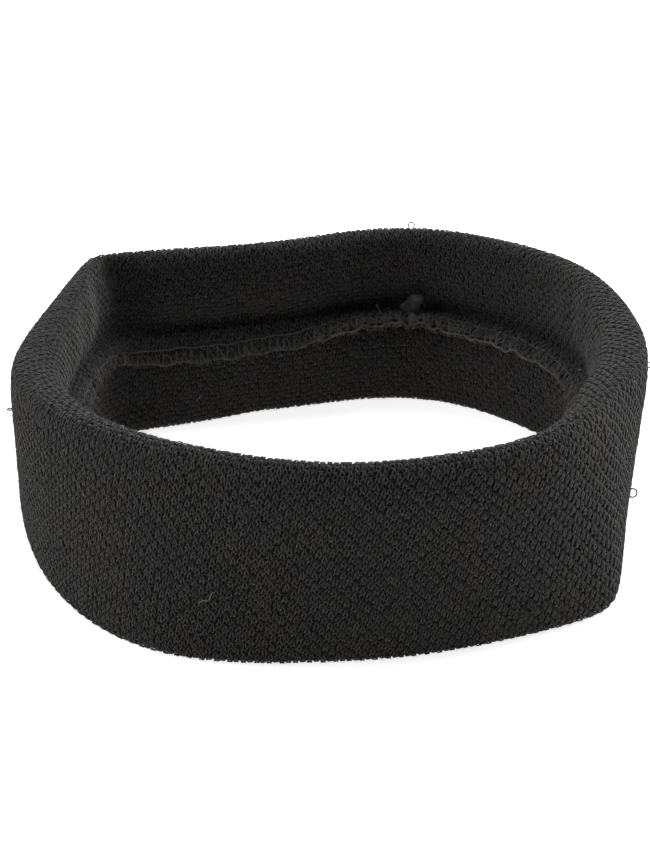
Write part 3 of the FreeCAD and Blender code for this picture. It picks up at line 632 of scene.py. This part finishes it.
def looper(name, node, phase, side, radius, inner):
    """Looper thread: ragged loops between the needle line and the edge, and round the edge.

    side is 1 above the flap and -1 below; inner is the share of the flap the loops reach to.
    """
    lift = FLAP_FACE + 0.34
    samples = []
    for k in range(STITCHES):
        j = RNG.normal(0, 1, 6)
        deep = inner + 0.060 * j[0]
        # (share of a stitch, share of the flap's length, height off its middle)
        loop = [(0.00, deep, lift), (0.10, deep + 0.10, lift + 0.10 + 0.03 * j[1]),
                (0.20, 0.86, lift + 0.10), (0.29, 0.97, lift - 0.06),
                (0.36, 1.045 + 0.012 * j[2], 0.80), (0.47, 1.075 + 0.014 * j[3], 0.05),
                (0.58, 1.045 + 0.012 * j[4], 0.78), (0.66, 0.965, lift - 0.05),
                (0.75, 0.85, lift + 0.11), (0.87, deep + 0.11, lift + 0.12 + 0.03 * j[5])]
        samples += [((k + x + phase + 0.20 * j[1]) / STITCHES, u, off * side)
                    for x, u, off in loop]
    points, normals = flap_path(samples)
    n, tone_pitch = len(points), 9
    shades = RNG.normal(0, 0.25, n // tone_pitch + 2)
    tone = 0.5 + np.interp(np.arange(n), np.arange(0, n + tone_pitch, tone_pitch), shades)
    lone_strand(name, LOOPER, "thread", node, points, normals * side, radius, 5,
                np.clip(tone, 0, 1), closed=True, flat=0.8)


def needle_thread():
    """Line of stitches along the middle of the flap, dipping once a stitch."""
    per = 8
    samples = []
    for k in range(STITCHES * per):
        wave = math.cos(2 * math.pi * k / per)
        samples.append((k / (STITCHES * per),
                        0.565 + 0.008 * math.sin(k * 0.37) + 0.01 * math.sin(k * 0.071),
                        FLAP_FACE + 0.30 + 0.26 * max(-0.9, wave)))
    lone_strand("needle_thread", SERGE, "thread", "edge_seam_needle_thread",
                *flap_path(samples), 0.17, 5, 0.55, closed=True)


def edge_lock_cord():
    """Cord along the raw edge, where the looper threads lock."""
    n, knots = 1300, 260
    wander = RNG.normal(0, 1, knots)
    wave = np.interp(np.arange(n), np.linspace(0, n - 1, knots + 1),
                     np.append(wander, wander[:1]))
    samples = []
    for k in range(n):
        stitch = math.sin(2 * math.pi * (k / n) * STITCHES)
        samples.append((k / n, 1.055 + 0.006 * wave[k] + 0.008 * stitch,
                        0.10 + 0.048 * wave[(k * 7) % n] + 0.10 * stitch))
    k = np.arange(n)
    lone_strand("edge_lock_cord", SERGE, "thread", None, *flap_path(samples),
                0.32 + 0.11 * np.sin(k * 1.3) * np.cos(k * 0.37), 6,
                np.clip(0.68 + 0.20 * wave, 0, 1), closed=True)


def fringe(name, count, u_range, seed, radius, length=0.75):
    """Loose fibres and cut yarn ends on the flap, within a range of its length."""
    g = np.random.default_rng(seed)
    strands = Strands()
    for k in range(count):
        s = g.uniform(0, 1)
        p, n = flap_xyz(s, g.uniform(*u_range),
                        g.choice([-1, 1], p=[0.25, 0.75]) * (FLAP_FACE + 0.30))
        beyond, _ = flap_xyz(s, 1.2, 0.0)
        d = (unit(beyond - p) * g.uniform(0.1, 0.9) + n * g.uniform(0.1, 0.9)
             + g.normal(0, 0.45, 3))
        d = unit(d)
        curl = g.normal(0, 0.5, 3)
        L = min(length * 2.0, g.gamma(3.0, length / 3.0))
        path = spline([p, p + d * L * 0.4, p + d * L * 0.75 + curl * L * 0.25,
                       p + d * L * 0.85 + curl * L * 0.6], 2)
        strands.add(path, n, radius * g.uniform(0.7, 1.3), 3, g.uniform(0.2, 1.0))
    dress(strands.build(name), SERGE)


looper("upper_looper", "edge_seam_upper_looper_thread", phase=0.0, side=1, radius=0.19,
       inner=0.64)
looper("lower_looper", "edge_seam_lower_looper_thread", phase=0.5, side=-1, radius=0.18,
       inner=0.60)
needle_thread()
edge_lock_cord()
fringe("edge_fringe", 4650, u_range=(0.92, 1.11), seed=31, radius=0.040)
fringe("flap_fuzz", 3400, u_range=(0.15, 0.97), seed=32, radius=0.030)


# ------------------------------------------------------------------ hidden cross seam threads
def cross_seam():
    """Two upright threads inside the hollow, behind the outer wall."""
    stitches, per = 15, 8
    z = np.linspace(9.0, 45.0, stitches * per)
    phase = np.arange(len(z)) * 2 * np.pi / per
    r = outer_half(z) - PLY - 1.35 - 0.48
    # name, mm along the ring from the seam, r, thread radius
    for name, along, depth, radius in [
            ("cross_seam_looper", 0.1 + 1.6 * np.sin(phase), r, 0.16),
            ("cross_seam_needle", -2.3, r + 0.05 * np.cos(phase), 0.15)]:
        points, n = place(CROSS_SEAM_S + along / RING_LENGTH, depth, z)
        normals = np.concatenate([n, np.zeros((len(n), 1))], 1)
        lone_strand(name, SERGE, "thread", name + "_thread", points, normals, radius, 5, 0.5)


cross_seam()

# ------------------------------------------------------------------ chain tail
TAIL_ROOT, tail_normal = place(0.1860, -6.7, SEAM_Z)
TAIL_ROOT[2] = SEAM_Z - REST_FLAT + FLAP_FACE + 0.15
TAIL_OUT = np.array([*tail_normal, 0.0])
TAIL_ALONG = np.array([-tail_normal[1], tail_normal[0], 0.0])
CHAIN_RADIUS = 0.20
# width of a clump up its height: shares of height, relative widths
CLUMP_HEIGHTS = [0, 0.12, 0.35, 0.65, 0.9, 1]
CLUMP_WIDTHS = [0.85, 0.85, 1.10, 1.60, 1.70, 1.05]


def clump(bunch, g, degrees, length, fat, strands, hairs):
    """One ravelled bunch of chain loops; positive degrees lean clockwise round the ring."""
    tilt = math.radians(degrees)
    lean = np.array([0, 0, math.cos(tilt)]) - TAIL_ALONG * math.sin(tilt)
    side = unit(np.cross(lean, TAIL_OUT))
    out = np.cross(side, lean)
    t = np.linspace(0, 1, 90)
    for k in range(strands):
        phase = k * 2 * math.pi / strands + g.uniform(-0.5, 0.5)
        reach = fat * np.interp(t, CLUMP_HEIGHTS, CLUMP_WIDTHS) * (
            0.60 + 0.40 * np.sin(t * g.uniform(9, 17) + g.uniform(0, 6)))
        swing = 2 * np.pi * g.uniform(1.6, 3.6) * t * (1 if k % 2 else -1) + phase
        bob = np.sin(2 * np.pi * g.uniform(3, 5) * t + g.uniform(0, 6))
        climb = t * length + 0.45 * bob * np.minimum(1, t * 4)
        climb = np.clip(climb, 0.0, length * g.uniform(0.80, 1.0))
        path = (TAIL_ROOT[None] + lean[None] * climb[:, None]
                + side[None] * (reach * np.cos(swing))[:, None]
                + out[None] * (reach * 0.55 * np.sin(swing))[:, None])
        bunch.add(path, out, CHAIN_RADIUS, 6, g.uniform(0.15, 0.95))
    for k in range(hairs):
        h = g.uniform(0.05, 1.0) ** 0.8
        a = g.uniform(0, 2 * math.pi)
        d = side * math.cos(a) + out * math.sin(a) * 0.55
        width = fat * np.interp(h, CLUMP_HEIGHTS, CLUMP_WIDTHS)
        p = TAIL_ROOT + lean * (h * length) + d * width * g.uniform(0.4, 1.0)
        L = g.uniform(0.4, 1.5)
        f = lean * g.uniform(-0.3, 1.0) + g.normal(0, 0.35, 3)
        path = spline([p, p + d * L * 0.5 + f * L * 0.25, p + d * L * 0.7 + f * L * 0.7], 3)
        bunch.add(path, lean, 0.036, 3, g.uniform(0.3, 1.0))


def chain_tail():
    bunch = Strands()
    g = np.random.default_rng(41)
    clump(bunch, g, degrees=12, length=5.6, fat=0.92, strands=9, hairs=380)
    clump(bunch, g, degrees=-38, length=4.0, fat=0.72, strands=6, hairs=240)
    dress(bunch.build("chain_tail"), SERGE, "seam_chain_tail", "chain_tail")


def chain_at_the_edge():
    """Where the chain leaves the raw edge and lies back over the flap to the tail's root."""
    chain = Strands()
    g = np.random.default_rng(43)
    for k in range(10):
        ds = g.uniform(-1.25, 1.25) / RING_LENGTH
        line = [flap_xyz(0.1858 + ds, 1.06, 0.10)[0],
                flap_xyz(0.1858 + ds, 0.93, FLAP_FACE + 0.42)[0],
                flap_xyz(0.1859 + ds * 0.8, 0.76, FLAP_FACE + 0.66 + 0.2 * g.uniform(-1, 1))[0],
                TAIL_ROOT + np.array([0, 0, 0.30]) + TAIL_ALONG * ds * RING_LENGTH * 0.6]
        path = spline(line, 10)
        path = path + g.normal(0, 0.07, path.shape)
        chain.add(path, TAIL_ALONG, CHAIN_RADIUS, 6, g.uniform(0.2, 0.9))
    dress(chain.build("chain_at_the_edge"), SERGE)


chain_tail()
chain_at_the_edge()


# ------------------------------------------------------------------ loops and ends
def local_path(origin, n, shape, push=0.0, up=(0, 0, 1.0)):
    """Points from rows of (along the ring, outward, up); outward ones are pushed further."""
    along, out, up = np.array([-n[1], n[0], 0]), np.array([n[0], n[1], 0]), np.array(up)
    return np.array([origin + along * a + out * (o + (push if o > 0 else 0.0)) + up * h
                     for a, o, h in shape])


def wall_path(s, z, shape):
    """A local path on the outer wall, pushed clear of the stitches."""
    return local_path(*place(s, float(outer_half(z)), z), shape, push=0.33)


def filament(name, node, points, radius, material=DARK, slot="filament"):
    curve = spline(points, 6)
    flattest = np.linalg.svd(curve - curve.mean(0))[2][2]   # normal of the plane it lies in
    lone_strand(name, material, slot, node, curve, flattest, radius, 7, 0.5)


filament("elastic_d_loop_right", "elastic_loop_right", wall_path(0.9610, 13.0, [
    (0.0, -0.7, -1.00), (0.1, 0.22, -1.20), (0.2, 1.0, -1.30), (0.25, 1.75, -0.85),
    (0.25, 2.0, 0.0), (0.2, 1.8, 0.85), (0.1, 1.05, 1.25), (0.0, 0.22, 1.15),
    (0.0, -0.7, 0.9)]), 0.22)
filament("elastic_loop_right_high", "elastic_loop_right_upper", wall_path(0.9646, 47.2, [
    (-0.2, -0.5, -0.6), (-0.2, 0.3, -0.75), (-0.2, 0.75, -0.6), (-0.2, 0.97, 0.0),
    (-0.2, 0.75, 0.6), (-0.2, 0.3, 0.7), (-0.2, -0.5, 0.5)]), 0.17)
filament("elastic_nub", "elastic_nub_left", wall_path(0.5229, 41.4, [
    (-0.6, -0.5, -0.1), (-0.6, 0.5, 0.0), (-0.2, 0.95, 0.05), (0.35, 0.95, 0.1),
    (0.6, 0.5, 0.1), (0.6, -0.5, 0.1)]), 0.18)
crest = place(0.1835, 0.0, BAND_HEIGHT + 0.35)
filament("elastic_loop_crest", "elastic_loop_back", local_path(*crest, [
    (0.60, 0.0, -0.5), (0.74, 0.0, 0.20), (0.86, 0.1, 0.75), (0.60, 0.1, 1.30),
    (0.0, 0.1, 1.50), (-0.60, 0.1, 1.30), (-0.84, 0.1, 0.75), (-0.66, 0.0, 0.20),
    (-0.5, 0.0, -0.5)]), 0.19)
CUT_END_S = 0.2080
cut_root, flap_normal = flap_xyz(CUT_END_S, 0.50, FLAP_FACE + 0.15)
filament("cut_thread_end", "loose_thread_end", local_path(
    cut_root, place(CUT_END_S, 0.0, SEAM_Z)[1], [
        (0.0, 0.0, 0.0), (0.25, 0.0, 0.9), (0.65, -0.1, 1.7), (1.1, -0.15, 2.5),
        (1.5, -0.2, 3.2)], up=flap_normal), 0.17, FILAMENT, "thread")


# ------------------------------------------------------------------ fuzz and lint
def fuzz(name, count, length, seed, radius):
    """Short fibres lying over and standing off the knit, as slim closed spikes."""
    g = np.random.default_rng(seed)
    s = g.uniform(0, 1, count)
    q = g.uniform(0, 1, count)
    P, N = surf(s, q, 0.02)
    lie = g.normal(size=(count, 3))
    lie -= (lie * N).sum(1, keepdims=True) * N
    lie = unit(lie)
    curl = g.normal(size=(count, 3)) * 0.35
    L = np.minimum(g.gamma(3.0, length / 3.0, count), length * 2.2)[:, None]
    rise = g.uniform(0.15, 0.75, count)[:, None]
    path = np.stack([P, P + N * L * rise * 0.8 + lie * L * 0.5,
                     P + N * L * rise + lie * L + curl * L * 0.5], 1)
    T = unit(np.gradient(path, axis=1))
    B = unit(np.cross(T, np.broadcast_to(N[:, None] + 0.2, T.shape)), 1e-9)
    C = np.cross(T, B)
    rings = sides = 3
    a = 2 * np.pi * np.arange(sides) / sides
    taper = radius * np.array([1.0, 0.9, 0.5])[None, :, None, None]
    verts = path[:, :, None] + taper * (np.cos(a)[None, None, :, None] * B[:, :, None]
                                        + np.sin(a)[None, None, :, None] * C[:, :, None])
    verts[..., 2] = np.maximum(verts[..., 2], 0.01)
    base = (np.arange(count) * rings * sides)[:, None, None]
    low = base + np.arange(rings - 1)[None, :, None] * sides
    k = np.arange(sides)[None, None, :]
    k2 = (k + 1) % sides
    quads = np.stack([low + k, low + k2, low + sides + k2, low + sides + k], -1).reshape(-1, 4)
    root, tip = base[:, 0], base[:, 0] + (rings - 1) * sides
    tris = np.concatenate([root + [2, 1, 0], tip + [0, 1, 2]])
    tone = np.repeat(g.uniform(0.1, 1.0, count), rings * sides)
    dress(mesh_object(name, verts.reshape(-1, 3), quads, tris, tone), FUZZ)


def lint_specks():
    """One lint thread on the front of the outer wall, and specks all round."""
    lint = Strands()
    points, normals = surf(0.675 + np.array([0.0, 0.002, 0.0045, 0.006]),
                           0.580 + np.array([0.0, -0.01, -0.012, -0.03]), 0.35)
    lint.add(spline(points, 6), normals[0], 0.05, 4, 0.2)
    g = np.random.default_rng(5)
    for k in range(34):
        (p,), (n,) = surf([g.uniform(0, 1)], [g.uniform(0, 1)], 0.2)
        d = g.normal(size=3)
        d = unit(d - d.dot(n) * n)
        L = g.uniform(0.3, 1.3)
        path = spline([p, p + d * L * 0.5 + n * 0.15, p + d * L], 3)
        lint.add(path, n, 0.045, 4, g.uniform(0, 1))
    dress(lint.build("lint_specks"), LINT)


for k, length in enumerate((0.75, 0.60, 0.85, 0.65, 0.70, 0.80, 0.60)):
    fuzz("fuzz_%d" % k, 13500, length, seed=11 + k, radius=0.019)
fuzz("fuzz_long", 6000, 1.15, seed=19, radius=0.017)
lint_specks()

# CAD nodes that stay: the hidden elastic
for name in ("elastic_yarns_outer_wall", "elastic_yarns_inner_upper",
             "elastic_yarns_inner_lower"):
    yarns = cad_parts[name]
    if not yarns.material_slots:
        yarns.data.materials.append(COVER)
    for slot in yarns.material_slots:
        slot.material = COVER


# ------------------------------------------------------------------ stage, light, camera (m)
def floor_material():
    """Matt floor with a glow of its own: brighter and whiter to the camera, warm to the band."""
    material, tree, output, shader = new_material("floor")
    link = tree.links.new
    shader.inputs["Base Color"].default_value = (0.80, 0.80, 0.80, 1)
    shader.inputs["Roughness"].default_value = 0.9
    shader.inputs["Specular IOR Level"].default_value = 0.0
    glow = add_node(tree, "Emission")
    rays = add_node(tree, "LightPath")
    # strength: 0.60, and 0.26 more for camera rays
    strength = add_node(tree, "Math", {1: 0.26, 2: 0.60}, operation="MULTIPLY_ADD")
    tint = add_node(tree, "Mix", {"A": (1.0, 0.94, 0.885, 1), "B": (1, 1, 1, 1)},
                    data_type="RGBA")
    both = add_node(tree, "AddShader")
    link(rays.outputs["Is Camera Ray"], tint.inputs["Factor"])
    link(tint.outputs["Result"], glow.inputs["Color"])
    link(rays.outputs["Is Camera Ray"], strength.inputs[0])
    link(strength.outputs[0], glow.inputs["Strength"])
    link(shader.outputs["BSDF"], both.inputs[0])
    link(glow.outputs["Emission"], both.inputs[1])
    link(both.outputs["Shader"], output.inputs["Surface"])
    return material


def make_floor(half=6, drop=0.0002):
    me = bpy.data.meshes.new("floor")
    corners = [(-half, -half, 0), (half, -half, 0), (half, half, 0), (-half, half, 0)]
    me.from_pydata(corners, [], [(0, 1, 2, 3)])
    floor = bpy.data.objects.new("floor", me)
    floor.location.z = -drop
    bpy.context.scene.collection.objects.link(floor)
    me.materials.append(floor_material())


def make_world():
    """White to the camera, and only a faint fill to everything else."""
    world = bpy.data.worlds.new("studio")
    bpy.context.scene.world = world
    world.use_nodes = True
    tree = world.node_tree
    tree.nodes.clear()
    output = add_node(tree, "OutputWorld")
    background = add_node(tree, "Background", {"Color": (1, 1, 1, 1)})
    rays = add_node(tree, "LightPath")
    strength = add_node(tree, "MapRange", {"To Min": 0.06, "To Max": 1.0})
    tree.links.new(rays.outputs["Is Camera Ray"], strength.inputs["Value"])
    tree.links.new(strength.outputs["Result"], background.inputs["Strength"])
    tree.links.new(background.outputs["Background"], output.inputs["Surface"])


def area(name, location, size, watts, target=(0, 0, 0.03)):
    light = bpy.data.lights.new(name, "AREA")
    light.shape = "RECTANGLE"
    light.size, light.size_y = size
    light.energy = watts
    lamp = bpy.data.objects.new(name, light)
    lamp.location = location
    aim = Vector(target) - Vector(location)
    lamp.rotation_euler = aim.to_track_quat("-Z", "Y").to_euler()
    bpy.context.scene.collection.objects.link(lamp)


def make_camera():
    """Looks down from the front; distance is along the view, rise square to it."""
    tilt = math.radians(25.4818)     # below level
    distance, rise, side = 0.522784, 0.058296, -0.047165
    data = bpy.data.cameras.new("camera")
    data.sensor_fit = "VERTICAL"
    data.sensor_height = 36.0
    data.lens = 92.39352249
    data.clip_start = 0.01
    camera = bpy.data.objects.new("camera", data)
    cos, sin = math.cos(tilt), math.sin(tilt)
    camera.location = (side + PLAN_SHIFT[0] * MM,
                       -distance * cos + rise * sin + PLAN_SHIFT[1] * MM,
                       distance * sin + rise * cos - REST_FLAT * MM)
    camera.rotation_euler = (math.pi / 2 - tilt, 0, 0)
    bpy.context.scene.collection.objects.link(camera)
    bpy.context.scene.camera = camera


make_floor()
make_world()
area("top_softbox", location=(0.05, 0.30, 1.0), size=(0.8, 0.8), watts=11.0)
area("left_softbox", location=(-1.05, -0.10, 0.46), size=(0.8, 0.6), watts=9.5)
area("right_softbox", location=(0.84, 0.56, 0.52), size=(0.8, 0.6), watts=20.5)
area("front_fill", location=(0.0, -1.3, 0.75), size=(0.8, 0.5), watts=0.3)
view = bpy.context.scene.view_settings
view.view_transform = "Standard"
view.look = "None"
view.exposure = 0.0
make_camera()

bpy.context.view_layer.update()
